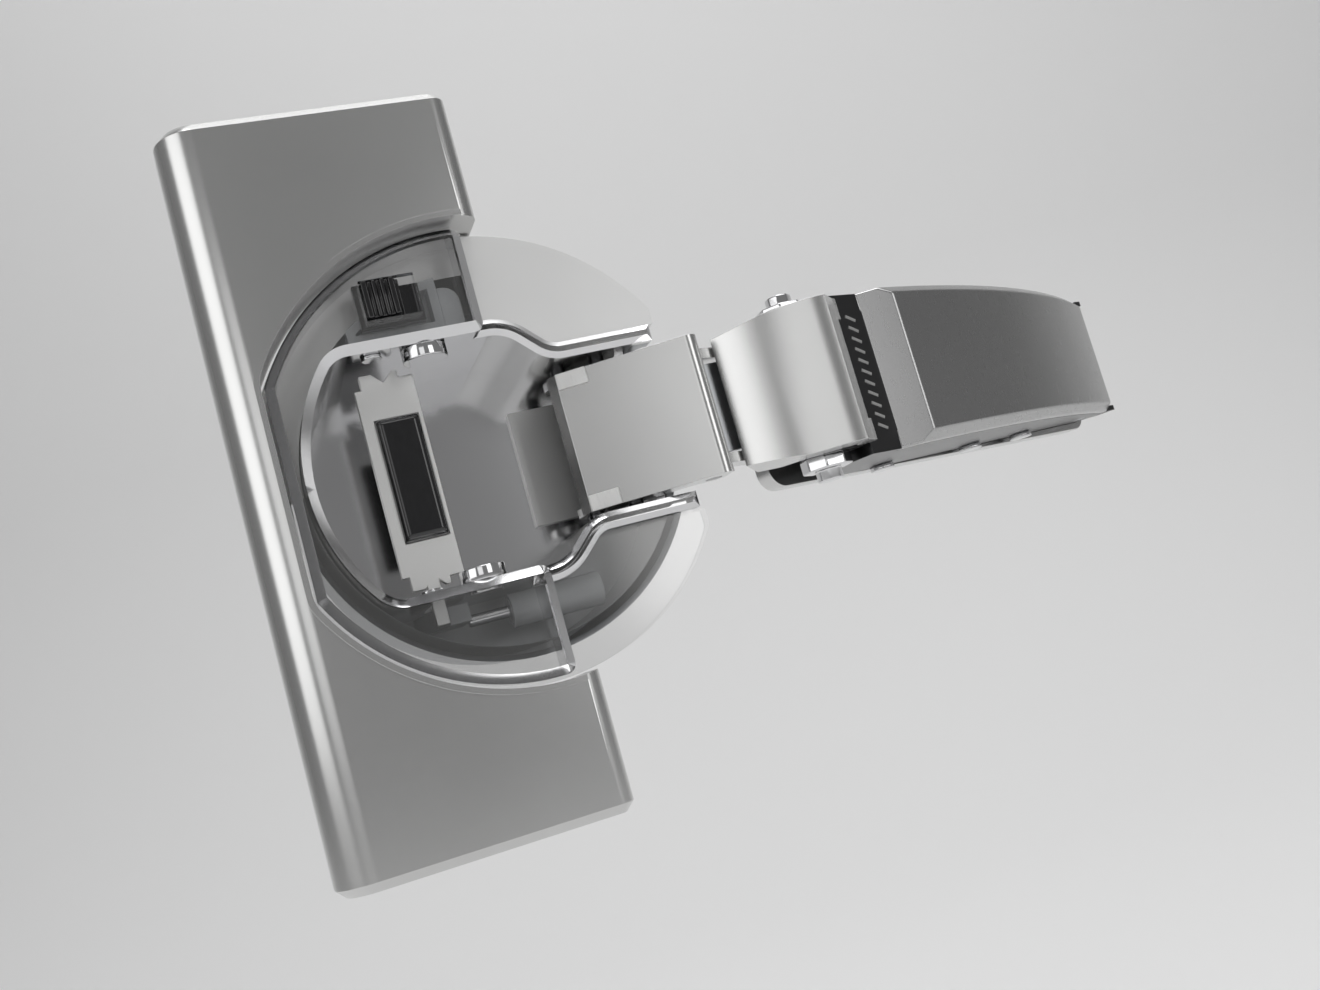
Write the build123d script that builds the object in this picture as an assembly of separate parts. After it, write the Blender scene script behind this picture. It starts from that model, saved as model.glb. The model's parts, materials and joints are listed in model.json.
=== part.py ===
from build123d import *
import os
from math import atan2, cos, degrees, hypot, radians, sin

os.makedirs("parts", exist_ok=True)

# Frame: origin on the cabinet panel, midway between the screw holes of the plate.
# X runs along the panel into the cabinet, -Y is the panel's normal, Z is the hinge axis.
# The hinge stands open. Cup pieces are drawn in a cup frame: v along the door towards its
# edge, w out of the door, z up. Arm pieces are drawn by x along the panel and n above it.

OPEN_ANGLE = 110.0
SCREW_SETBACK = 64.0
SCREW_SPACING = 32.0
RUN_FIT = 0.05
GAP = 0.15
TOUCH = 1e-4
DEEP = 60.0

# Cup and flange
POT_D = 35.0
POT_WALL = 0.7
POT_FLOOR = 1.0
POT_CORNER = 0.5
FLANGE_RIM = 3.0
FLANGE_T = 1.5
FLANGE_CHORD = 2.9
FLANGE_NOTCH = 3.6
SHEET = 0.8
TUB_DEPTH = 11.4
TUB_SIDE = 6.9
TUB_SKIRT = 0.1
TUB_CORNER_R = 2.4
CHANNEL_HALF = 7.3
NECK_START = 3.4
NECK_END = 6.8
NECK_R = 3.6
END_WALL_W = -3.3
PLATFORM_H = 3.6
PLATFORM_INSET = 0.3
PLATFORM_BORDER = 2.1
PLATFORM_RIGHT = 1.4
PLATFORM_POST_R = 0.9
PLATFORM_EDGE = 0.8
BEAD_H = 1.2
BEAD_W = 1.5
BEAD_EDGE = 0.5

# Cover plate
COVER_L = 65.0
COVER_BORDER = 3.65
COVER_RIGHT = 3.0
COVER_H = 4.6
COVER_T = 0.9
COVER_LEFT_R = 3.4
COVER_RIGHT_R = 1.4
COVER_END = 0.8
CUTOUT_CLEAR = 0.15
CUTOUT_GAP = 0.35
CUTOUT_CORNER_R = 3.0
LIP_W = 0.5
LIP_H = 0.35

# Pivots: cup pivots as (v, w), nose pivots as (v, w) in the open pose
OUTER_CUP_PIVOT = (8.97, -5.4)
INNER_CUP_PIVOT = (12.83, -4.8)
OUTER_NOSE_PIVOT = (19.1, 0.3)
INNER_NOSE_PIVOT = (29.2, -4.05)
PIN_R = 0.75
STUB_INNER = 4.7

# Outer link
LINK_HALF = 6.6
LINK_WALL = 0.8
LINK_LEFT = 7.8
LINK_LEFT_W = -2.5
LINK_RIGHT = 20.2
LINK_TIP_R = 1.0
LINK_LIFT = 2.45
LINK_CUP_EYE_R = 1.7
LINK_NOSE_EYE_R = 1.4
LINK_CURL = 1.2
PAD_LEN = 2.6
PAD_W = 1.5
PAD_T = 0.25

# Inner link
STRAP_HALF = 4.3
STRAP_T = 0.7
STRAP_EYE_R = 1.6
STRAP_TAIL = 1.9
STRAP_BEND = 0.8
DOOR_EDGE = 22.6

# Nose of the arm
NOSE_HALF = 7.0
NOSE_FRONT_HALF = 6.2
NOSE_TAPER_X = 24.5
NOSE_T = 1.2
NOSE_SKIRT = 2.8
NOSE_WALL_IN = 4.6
NOSE_WALL_OUT = 5.6
NOSE_EAR_R = 1.25
NOSE_LUG_R = 2.0
NOSE_START = (20.95, 8.15)
NOSE_KINK = (23.2, 12.1)
NOSE_CREST = (26.9, 16.0)
NOSE_END = (28.4, 16.8)
NOSE_CURL = (30.8, 15.4)
KNUCKLE_R = 1.0
KNUCKLE_IN = 4.9
NOSE_PIN = (29.4, 9.9)
NOSE_PIN_R = 1.4
NOSE_PIN_HEAD_R = 2.5
NOSE_PIN_HEAD_T = 1.3
NOSE_PIN_TIP_R = 1.3
NOSE_PIN_TIP_T = 1.1
HEAD_SIDES = 8
STUD_SIDES = 12
LOOP_R = 2.3
TAIL_ROOT = 3.6
TAIL_H = 8.8
TAIL_T = 1.0
TAIL_HALF = 4.4
TAIL_END = 44.5

# Arm and cap
ARM_HALF = 8.0
ARM_REAR_HALF = 7.1
ARM_WALL = 1.5
ARM_WEB = 1.2
ARM_FRONT = 32.5
ARM_FRONT_H = 8.0
ARM_BOTTOM = 2.5
ARM_STEP_H = 13.2
SHELF_FRONT = 33.2
ROOF_REAR = 78.0
CHEEK_W = 1.15
TAB_L = 1.2
TAB_DROP = 0.6
CAP_T = 1.0
CAP_FRONT = 36.6
CAP_STEP = 39.3
CAP_TOP_H = 15.6
CAP_MID = (60.6, 14.0)
CAP_REAR = (83.2, 7.0)
CAP_EDGE = 0.9
CAP_SKIRT = 2.0
CAP_LIP = 0.9
ACCESS_R = 2.4

# Adjusters and mounting plate
SIDE_SCREW_X = 42.0
SIDE_SCREW_R = 2.0
SIDE_NECK_R = 1.0
SIDE_SLOT_L = 2.4
SIDE_FOOT_T = 1.0
NECK_PLAY = 0.45
CAM_X = 64.0
CAM_R = 3.0
CAM_H = 2.4
CAM_STUB_R = 1.3
CAM_SLOT_W = 0.8
CAM_SLOT_L = 4.0
CAM_SLOT_D = 1.2
BRACKET_FRONT = 53.0
BRACKET_REAR = 76.0
BRACKET_T = 1.05
BRACKET_LOW = 2.15
RAIL_W = 1.1
RAIL_TOP = 5.5
RAIL_FRONT = 36.0
PLATE_FRONT = 29.3
PLATE_REAR = 84.0
PLATE_T = 2.0
PLATE_HALF = 8.0
PLATE_CORNER_R = 2.0
SCREW_HOLE_R = 2.6
SCREW_SINK_R = 3.8
DEPTH_MIN = 2.0
DEPTH_MAX = 3.0
ARM_PIN_X = (43.5, 58.5, 68.0)
ARM_PIN_H = 3.9
ARM_PIN_R = 0.8
ARM_PIN_HEAD_R = 1.3
ARM_PIN_HEAD_T = 0.6
LEVER_PIVOT = (80.0, 4.0)
LEVER_PIN_R = 0.9
LEVER_EYE_R = 1.4
LEVER_ARM = 2.0
LEVER_T = 1.1
LEVER_BACK = 86.2
LEVER_TOP = 4.6
LEVER_LOW = 2.4

# Soft-close parts
ACT_LEFT = 10.4
ACT_RIGHT = 5.05
ACT_CLEAR = 0.8
ACT_TOP = -1.5
ACT_T = 0.9
ACT_TRAVEL = 4.8
ACT_NOTCH = 1.3
ACTUATOR_PAD_LEFT = 9.4
ACTUATOR_PAD_RIGHT = 5.4
ACTUATOR_PAD_HALF = 5.6
ACTUATOR_PAD_RISE = 0.7
ACTUATOR_PAD_EDGE = 0.4
LUG_L = 1.15
LUG_REACH = 2.6
WEDGE_RATIO = 0.5
WEDGE_L = 2.05
WEDGE_W = 1.7
DAMPER_W = -5.0
DAMPER_R = 1.6
DAMPER_BORE_R = 1.15
DAMPER_START = -1.4
DAMPER_CAP_T = 0.9
ROD_R = 0.55
PISTON_R = 1.05
PISTON_T = 1.4
WINDOW_LEFT = 8.45
WINDOW_RIGHT = 3.65
WINDOW_NEAR = 2.45
WINDOW_W = 3.6
KNOB_L = 2.9
KNOB_RISE = 0.4
KNOB_RIBS = 4
KNOB_RIB_D = 0.3
FOOT_T = 1.0
FOOT_MARGIN = 0.5
HOUSING_LEFT = 10.2
HOUSING_RIGHT = 1.6
HOUSING_NEAR = 1.2
HOUSING_W = 5.6
HOUSING_T = 2.7
BUSH_V = -4.0
BUSH_W = 1.0
BUSH_R = 1.5
BUSH_HEAD_R = 2.0
BUSH_HEAD_T = 1.2
BUSH_REACH = 0.2
RIVET_V = -8.6
RIVET_W = 1.2
RIVET_R = 0.55
RIVET_HEAD_R = 0.95
RIVET_HEAD_T = 0.35
LEAF_LEFT = 4.5
LEAF_HALF = 5.7
LEAF_T = 0.7
LEAF_RISE = 2.4

# Sizes that follow from the ones above
TILT = OPEN_ANGLE - 90.0
POT_R = POT_D / 2
POT_INNER_R = POT_R - POT_WALL
FLANGE_R = POT_R + FLANGE_RIM
TUB_R = POT_INNER_R - TUB_SKIRT - SHEET
TUB_HALF = POT_R - TUB_SIDE
PLATFORM_R = FLANGE_R - PLATFORM_INSET
PLATFORM_LEFT = TUB_R + PLATFORM_BORDER
CUTOUT_R = FLANGE_R + CUTOUT_CLEAR
CUTOUT_LEFT = PLATFORM_LEFT + CUTOUT_GAP
COVER_LEFT = CUTOUT_LEFT + COVER_BORDER
FACE_W = -FLANGE_T
TUB_FLOOR_W = -TUB_DEPTH
POT_BOTTOM_W = TUB_FLOOR_W - SHEET - POT_FLOOR
LINK_TOP_AT_NOSE = OUTER_NOSE_PIVOT[1] + LINK_LIFT
LINK_SLOPE = (LINK_TOP_AT_NOSE - LINK_LEFT_W) / (OUTER_NOSE_PIVOT[0] - LINK_LEFT)
ARM_INNER = ARM_HALF - ARM_WALL
CHEEK_IN = NOSE_WALL_OUT + GAP
CHEEK_OUT = CHEEK_IN + CHEEK_W
CAP_INNER = ARM_REAR_HALF - CAP_LIP
BRACKET_HALF = ARM_INNER - GAP
BRACKET_INNER = BRACKET_HALF - BRACKET_T
RAIL_OUT = BRACKET_INNER - 2 * RUN_FIT
RAIL_IN = RAIL_OUT - RAIL_W
ARM_PIN_REACH = BRACKET_INNER + GAP
LEVER_HALF = CAP_INNER - GAP
ACT_HALF = TUB_HALF - ACT_CLEAR
TUB_OUTER = TUB_HALF + SHEET
DAMPER_Z = TUB_OUTER + DAMPER_R + 2 * GAP
WEDGE_NEAR = TUB_OUTER + 2 * GAP
WEDGE_FAR = WEDGE_NEAR + WEDGE_W
STROKE = WEDGE_RATIO * ACT_TRAVEL
DAMPER_END = ((POT_INNER_R - GAP) ** 2 - (DAMPER_Z + DAMPER_R) ** 2) ** 0.5 - GAP
LUG_RIGHT = ((POT_INNER_R - GAP) ** 2 - WEDGE_FAR ** 2) ** 0.5 - GAP - STROKE
LUG_LEFT = LUG_RIGHT + LUG_L
WEDGE_BACK = LUG_RIGHT - WEDGE_L
WINDOW = (-WINDOW_LEFT, -WINDOW_RIGHT, TUB_HALF + WINDOW_NEAR, TUB_HALF + WINDOW_NEAR + WINDOW_W)
HOUSING = (-HOUSING_LEFT, -HOUSING_RIGHT, TUB_HALF + HOUSING_NEAR, TUB_HALF + HOUSING_NEAR + HOUSING_W)

CUP_PLACE = Location((-SCREW_SETBACK, 0, 0), (0, 0, -TILT))
ARM_PLACE = Location((-SCREW_SETBACK, 0, 0))


def side(points):
    """Face through points of the side view, drawn with the second coordinate turned to -Y."""
    return make_face(Polyline([(a, -b) for a, b in points], close=True))


def bar(face, z_low, z_high):
    """Side view face stretched along the hinge axis between two heights."""
    return Pos(0, 0, z_low) * extrude(face, amount=z_high - z_low, dir=(0, 0, 1))


def both_sides(face, z_low, z_high):
    """Two like solids, above and below the middle plane."""
    return bar(face, z_low, z_high) + bar(face, -z_high, -z_low)


def round_bar(centre, radius, z_low, z_high):
    """Cylinder along the hinge axis at a side view point."""
    return bar(Pos(centre[0], -centre[1]) * Circle(radius), z_low, z_high)


def eye(centre, radius):
    """Many-sided face at a side view point, for eyes and studs that nothing turns on."""
    return Pos(centre[0], -centre[1]) * RegularPolygon(radius, STUD_SIDES)


def slab(face, w_low, w_high):
    """Plan view face of the cup stretched out of the door between two levels."""
    return extrude(Plane.XZ.offset(w_low) * face, amount=w_high - w_low)


def plan_box(v_low, v_high, z_low, z_high):
    """Rectangle in the plan view of the cup."""
    return Pos((v_low + v_high) / 2, (z_low + z_high) / 2) * Rectangle(v_high - v_low, z_high - z_low)


def swap(point):
    """Point of the open cup frame given by its place along and above the panel."""
    v, w = point
    a = radians(TILT)
    return (v * cos(a) - w * sin(a), v * sin(a) + w * cos(a))


def neck_outline():
    """Plan of a wide and a narrow channel joined by an S-shaped neck."""
    points = [(-POT_R, TUB_HALF), (NECK_START, TUB_HALF), (NECK_END, CHANNEL_HALF),
              (2 * FLANGE_R, CHANNEL_HALF)]
    points += [(v, -z) for v, z in reversed(points)]
    face = make_face(Polyline(points, close=True))
    necks = [p for p in face.vertices() if NECK_START - TOUCH < p.X < NECK_END + TOUCH]
    return fillet(necks, NECK_R)


def tub_outline(grow):
    """Plan of the tub: wide end, S-shaped neck and narrow channel, grown by a wall."""
    face = neck_outline() & Circle(TUB_R)
    corners = [p for p in face.vertices() if p.X < -NECK_START]
    face = fillet(corners, TUB_CORNER_R)
    return offset(face, grow) if grow else face


def platform_outline(inset):
    """Plan of the raised D platform."""
    left = -PLATFORM_LEFT + inset
    right = PLATFORM_RIGHT - inset
    return Circle(PLATFORM_R - inset) & plan_box(left, right, -FLANGE_R, FLANGE_R)


def top_edges(solid, level):
    """Edges that lie in the plane at one level of the cup."""
    return [e for e in solid.edges() if abs(e.bounding_box().min.Y + level) < TOUCH
            and abs(e.bounding_box().max.Y + level) < TOUCH]


def make_platform():
    """Raised platform around the wide end of the tub, open towards the channel."""
    mouth = tub_outline(0) + plan_box(0, FLANGE_R, -TUB_HALF, TUB_HALF)
    solid = slab(platform_outline(0) - mouth, 0, PLATFORM_H)
    solid = fillet(solid.edges().filter_by(Axis.Y), PLATFORM_POST_R)
    return chamfer(top_edges(solid, PLATFORM_H), PLATFORM_EDGE)


def make_bead():
    """Rolled bead along the neck and channel."""
    ring = offset(neck_outline(), BEAD_W) - neck_outline()
    ring = ring & plan_box(0, FLANGE_R - FLANGE_NOTCH, -FLANGE_R, FLANGE_R)
    solid = slab(ring, 0, BEAD_H)
    return chamfer(top_edges(solid, BEAD_H), BEAD_EDGE)


def make_flange():
    """Insert of the cup: platform, bead and tub drawn from one sheet."""
    grown = tub_outline(SHEET)
    hollow = slab(platform_outline(SHEET) - grown, 0, PLATFORM_H - SHEET)
    shell = make_platform() - hollow + make_bead()
    shell += slab(grown, TUB_FLOOR_W - SHEET, BEAD_H / 2)
    shell -= slab(tub_outline(0), TUB_FLOOR_W, PLATFORM_H + GAP)
    open_end = plan_box(NECK_END, FLANGE_R, -CHANNEL_HALF, CHANNEL_HALF)
    shell -= slab(open_end, END_WALL_W, PLATFORM_H)
    shell -= slab(plan_box(*WINDOW), 0, PLATFORM_H + GAP)
    foot = ACT_TOP - ACT_T - ACT_TRAVEL - GAP
    slot = side([(-LUG_LEFT - GAP, ACT_TOP + GAP), (-LUG_RIGHT + GAP, ACT_TOP + GAP),
                 (-LUG_RIGHT + GAP, foot), (-LUG_LEFT - GAP, foot)])
    shell -= bar(slot, -TUB_OUTER - GAP, -TUB_HALF + GAP)
    for centre, radius in (((BUSH_V, BUSH_W), BUSH_R), ((RIVET_V, RIVET_W), RIVET_R)):
        shell -= both_sides(eye(centre, radius), TUB_HALF - GAP, TUB_OUTER + GAP)
    for pivot in (OUTER_CUP_PIVOT, INNER_CUP_PIVOT):
        hole = Pos(pivot[0], -pivot[1]) * Circle(PIN_R)
        shell -= both_sides(hole, CHANNEL_HALF - GAP, CHANNEL_HALF + SHEET)
    return shell


def make_pot():
    """Round pot drawn in one with its flange, with a small corner below the flange."""
    solid = slab(Circle(POT_R), POT_BOTTOM_W, FACE_W) + slab(Circle(FLANGE_R), FACE_W, 0)
    seat = [e for e in top_edges(solid, FACE_W) if e.bounding_box().max.X < POT_R + TOUCH]
    solid = chamfer(seat, POT_CORNER)
    solid -= slab(plan_box(FLANGE_R - FLANGE_CHORD, FLANGE_R, -FLANGE_R, FLANGE_R), FACE_W, 0)
    notch_half = CHANNEL_HALF + BEAD_W + GAP
    solid -= slab(plan_box(FLANGE_R - FLANGE_NOTCH, FLANGE_R, -notch_half, notch_half), FACE_W, 0)
    solid -= slab(Circle(POT_INNER_R), POT_BOTTOM_W + POT_FLOOR, FACE_W)
    under = Circle(POT_INNER_R) & plan_box(-FLANGE_R, PLATFORM_RIGHT - SHEET, -FLANGE_R, FLANGE_R)
    solid -= slab(under + tub_outline(SHEET + RUN_FIT), FACE_W, 0)
    return solid - slab(plan_box(0, POT_D, -CHANNEL_HALF, CHANNEL_HALF), END_WALL_W, 0)


def cutout(grow):
    """Plan of the cover's round cut-out, flattened at the left."""
    face = Circle(CUTOUT_R + grow) & plan_box(-CUTOUT_LEFT - grow, DEEP, -DEEP, DEEP)
    corners = [p for p in face.vertices() if p.X < 0]
    return fillet(corners, CUTOUT_CORNER_R)


def cover_block(inset):
    """Solid of the cover's outer or inner form."""
    top = COVER_H - inset
    left = -COVER_LEFT + inset
    right = COVER_RIGHT - inset
    face = side([(left, FACE_W), (left, top), (right, top), (right, FACE_W)])
    upper = [p for p in face.vertices() if p.Y < -top + TOUCH]
    face = fillet(min(upper, key=lambda p: p.X), COVER_LEFT_R - inset)
    upper = [p for p in face.vertices() if p.X > right - TOUCH and p.Y < -top + TOUCH]
    face = fillet(upper, COVER_RIGHT_R - inset)
    half = COVER_L / 2 - inset
    return bar(face, -half, half)


def make_cover():
    """Pressed cover plate with a raised lip round its cut-out."""
    outer = cover_block(0)
    ends = [e for e in outer.edges() if abs(abs(e.center().Z) - COVER_L / 2) < TOUCH
            and e.center().Y < -FACE_W - TOUCH]
    outer = chamfer(ends, COVER_END)
    lip = slab(cutout(LIP_W), COVER_H - COVER_T, COVER_H + LIP_H)
    lip &= slab(plan_box(-CUTOUT_LEFT - LIP_W, COVER_RIGHT - COVER_RIGHT_R, -DEEP, DEEP), 0, DEEP)
    shell = outer - cover_block(COVER_T)
    rim = slab(cutout(COVER_T), GAP, COVER_H - COVER_T) & cover_block(COVER_T)
    return shell + rim + lip - slab(cutout(0), FACE_W - GAP, DEEP)


def make_outer_link():
    """Pressed channel between the cup pins and the nose pin."""
    left, low = LINK_LEFT, LINK_LEFT_W
    right, high = LINK_RIGHT, LINK_LEFT_W + LINK_SLOPE * (LINK_RIGHT - LINK_LEFT)
    drop = LINK_WALL * hypot(1, LINK_SLOPE)
    lean = LINK_SLOPE * LINK_CURL
    rise = LINK_SLOPE * LINK_WALL
    cup, nose = OUTER_CUP_PIVOT, OUTER_NOSE_PIVOT
    pin_top = INNER_CUP_PIVOT[1] + PIN_R + 2 * GAP
    web = side([(left, low), (right, high), (right + rise, high - LINK_CURL),
                (right - LINK_WALL, high - LINK_CURL), (right - LINK_WALL, high - rise - drop),
                (left + LINK_WALL, low + rise - drop), (left + LINK_WALL - lean, low - LINK_CURL),
                (left - lean, low - LINK_CURL)])
    walls = side([(left, low), (right, high), (nose[0] + LINK_NOSE_EYE_R, nose[1]),
                  (nose[0], nose[1] - LINK_NOSE_EYE_R), (POT_R, FACE_W + 3 * GAP),
                  (INNER_CUP_PIVOT[0], pin_top), (cup[0] + LINK_CUP_EYE_R, cup[1] + LINK_CUP_EYE_R / 2),
                  cup, (cup[0] - LINK_CUP_EYE_R, cup[1])])
    walls += eye(cup, LINK_CUP_EYE_R) + eye(nose, LINK_NOSE_EYE_R)
    web = fillet([p for p in web.vertices() if p.Y < -high + TOUCH], LINK_TIP_R)
    walls = fillet([p for p in walls.vertices() if p.Y < -high + TOUCH], LINK_TIP_R)
    solid = bar(web, -LINK_HALF, LINK_HALF) + both_sides(walls, LINK_HALF - LINK_WALL, LINK_HALF)
    for pivot in (cup, nose):
        solid -= round_bar(pivot, PIN_R + RUN_FIT, -LINK_HALF, LINK_HALF)
    return solid


def make_link_pads():
    """Two pale pads on the left corners of the outer link."""
    rise = PAD_T * hypot(1, LINK_SLOPE)
    end = LINK_LEFT + PAD_LEN
    level = LINK_LEFT_W + LINK_SLOPE * PAD_LEN
    face = side([(LINK_LEFT, LINK_LEFT_W), (LINK_LEFT, LINK_LEFT_W + rise), (end, level + rise),
                 (end, level)])
    return both_sides(face, LINK_HALF - PAD_W, LINK_HALF)


def make_inner_link():
    """Thin cranked strap that lies on the inner cup pin and turns on the inner nose pin."""
    pin_v, pin_w = INNER_CUP_PIVOT
    under = pin_w + PIN_R + RUN_FIT
    level = OUTER_NOSE_PIVOT[1] - PIN_R - STRAP_T - GAP
    end = INNER_NOSE_PIVOT
    face = side([(pin_v - STRAP_TAIL, under), (pin_v + STRAP_BEND, under), (POT_R, level),
                 (DOOR_EDGE + STRAP_T, level), (end[0] - STRAP_EYE_R, end[1]), end,
                 (end[0] + STRAP_T, end[1] + STRAP_EYE_R - GAP), (DOOR_EDGE + 2 * STRAP_T, level + STRAP_T),
                 (POT_R - STRAP_T / 2, level + STRAP_T), (pin_v + STRAP_BEND - STRAP_T / 2, under + STRAP_T),
                 (pin_v - STRAP_TAIL, under + STRAP_T)])
    face += Pos(end[0], -end[1]) * Circle(STRAP_EYE_R)
    solid = bar(face, -STRAP_HALF, STRAP_HALF)
    return solid - round_bar(end, PIN_R + RUN_FIT, -STRAP_HALF, STRAP_HALF)


def inside(points, depth):
    """Points shifted by a depth to the right of the path through them, with mitred corners."""
    dirs = []
    for (x0, n0), (x1, n1) in zip(points, points[1:]):
        length = hypot(x1 - x0, n1 - n0)
        dirs.append(((x1 - x0) / length, (n1 - n0) / length))
    result = []
    for i, (x, n) in enumerate(points):
        ax, an = dirs[max(i - 1, 0)]
        bx, bn = dirs[min(i, len(dirs) - 1)]
        scale = depth / (1 + ax * bx + an * bn)
        result.append((x + scale * (an + bn), n - scale * (ax + bx)))
    return result


def band(points, depth):
    """Side view strip of constant thickness under a path."""
    return side(points + inside(points, depth)[::-1])


def make_nose():
    """Cranked front of the arm that carries both link pins."""
    path = [NOSE_START, NOSE_KINK, NOSE_CREST, NOSE_END, NOSE_CURL]
    outer, inner = swap(OUTER_NOSE_PIVOT), swap(INNER_NOSE_PIVOT)
    solid = bar(band(path, NOSE_T), -NOSE_HALF, NOSE_HALF)
    solid += both_sides(band(path[:4], NOSE_SKIRT), NOSE_HALF - NOSE_T, NOSE_HALF)
    knuckle = eye((NOSE_CURL[0], NOSE_CURL[1] - KNUCKLE_R), KNUCKLE_R)
    solid += both_sides(knuckle, KNUCKLE_IN, NOSE_HALF)
    start, kink, crest, last = inside(path[:4], NOSE_T / 2)
    back = NOSE_PIN[0] + LOOP_R
    wall = side([(outer[0], outer[1] + NOSE_EAR_R), start, kink, crest, last, (back, NOSE_PIN[1]),
                 (back, TAIL_H), (inner[0] + NOSE_LUG_R, inner[1]),
                 (inner[0], inner[1] - NOSE_LUG_R + GAP), (start[0], outer[1] - NOSE_EAR_R),
                 (outer[0], outer[1] - NOSE_EAR_R)])
    wall += eye(outer, NOSE_EAR_R) + eye(inner, NOSE_LUG_R) + eye(NOSE_PIN, LOOP_R)
    solid += both_sides(wall, NOSE_WALL_IN, NOSE_WALL_OUT)
    root_end = NOSE_PIN[0] + TAIL_ROOT
    tail_top = TAIL_H + TAIL_T
    root = side([(NOSE_PIN[0], TAIL_H), (NOSE_PIN[0], tail_top), (root_end, tail_top), (root_end, TAIL_H)])
    tail = side([(NOSE_PIN[0], TAIL_H), (NOSE_PIN[0], tail_top), (TAIL_END, tail_top), (TAIL_END, TAIL_H)])
    solid += bar(root, -NOSE_WALL_OUT, NOSE_WALL_OUT) + bar(tail, -TAIL_HALF, TAIL_HALF)
    tip = NOSE_START[0] - NOSE_T
    corner = make_face(Polyline([(tip, NOSE_FRONT_HALF), (NOSE_START[0], NOSE_FRONT_HALF),
                                 (NOSE_TAPER_X, NOSE_HALF), (NOSE_TAPER_X, 2 * NOSE_HALF),
                                 (tip, 2 * NOSE_HALF)], close=True))
    corner += mirror(corner, about=Plane.XZ)
    solid -= extrude(Plane.XZ * corner, amount=DEEP)
    solid -= round_bar(NOSE_PIN, NOSE_PIN_R + RUN_FIT, -NOSE_HALF, NOSE_HALF)
    for pivot in (outer, inner):
        solid -= round_bar(pivot, PIN_R, -NOSE_HALF, NOSE_HALF)
    slot = Pos(SIDE_SCREW_X, 0) * SlotOverall(2 * SIDE_NECK_R + 4 * GAP, 2 * SIDE_NECK_R + 2 * GAP)
    return solid - extrude(Plane.XZ * slot, amount=DEEP)


def cap_line(drop):
    """Arched side view line of the cap, lowered by a depth."""
    points = ((CAP_STEP, CAP_TOP_H), CAP_MID, CAP_REAR)
    return ThreePointArc(*[(x, drop - n) for x, n in points])


def under_cap(drop, low):
    """Side view face between the lowered arch and a level."""
    arc = cap_line(drop)
    foot = max(drop - CAP_T, 0) - ARM_STEP_H
    back = Line(arc @ 1, (CAP_REAR[0], -low))
    floor = Line((CAP_REAR[0], -low), (CAP_FRONT, -low))
    front = Line((CAP_FRONT, -low), (CAP_FRONT, foot))
    step = Line((CAP_FRONT, foot), arc @ 0)
    return make_face([arc, back, floor, front, step])


def arm_half(x):
    """Half width of the tapered arm at a place along it."""
    share = max(x - CAP_STEP, 0) / (CAP_REAR[0] - CAP_STEP)
    return ARM_HALF + (ARM_REAR_HALF - ARM_HALF) * min(share, 1)


def arm_plan():
    """Solid over the plan of the arm, straight in front and tapered behind."""
    stations = (NOSE_START[0], CAP_STEP, CAP_REAR[0], CAP_REAR[0] + 2 * TAB_L)
    points = [(x, arm_half(x)) for x in stations]
    points += [(x, -z) for x, z in reversed(points)]
    return extrude(Plane.XZ * make_face(Polyline(points, close=True)), amount=DEEP)


def cap_edge(turn):
    """Disc about the arch's axis with a broken rim, turned by the taper of the arm."""
    centre = cap_line(0).arc_center
    radius = hypot(CAP_STEP - centre.X, CAP_TOP_H + centre.Y)
    rim = ARM_HALF - CAP_EDGE
    points = [(0, -DEEP), (0, rim + CAP_SKIRT), (radius - CAP_SKIRT, rim + CAP_SKIRT),
              (radius + GAP, rim - GAP), (radius + GAP, -DEEP)]
    disc = revolve(Plane.XZ * make_face(Polyline(points, close=True)), Axis.Z)
    disc = Pos(centre.X - CAP_STEP, centre.Y) * disc
    return Pos(CAP_STEP) * (Rot(0, turn, 0) * disc)


def make_cap():
    """Arched cover cap with broken edges and a slanted step at the front."""
    face = under_cap(0, ARM_BOTTOM) - under_cap(CAP_SKIRT, ARM_BOTTOM)
    solid = bar(face, -ARM_HALF, ARM_HALF) & arm_plan()
    taper = degrees(atan2(ARM_HALF - ARM_REAR_HALF, CAP_REAR[0] - CAP_STEP))
    edge = cap_edge(taper)
    solid = solid & edge & mirror(edge, about=Plane.XY)
    return solid - bar(under_cap(CAP_T, ARM_BOTTOM), -CAP_INNER, CAP_INNER)


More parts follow.
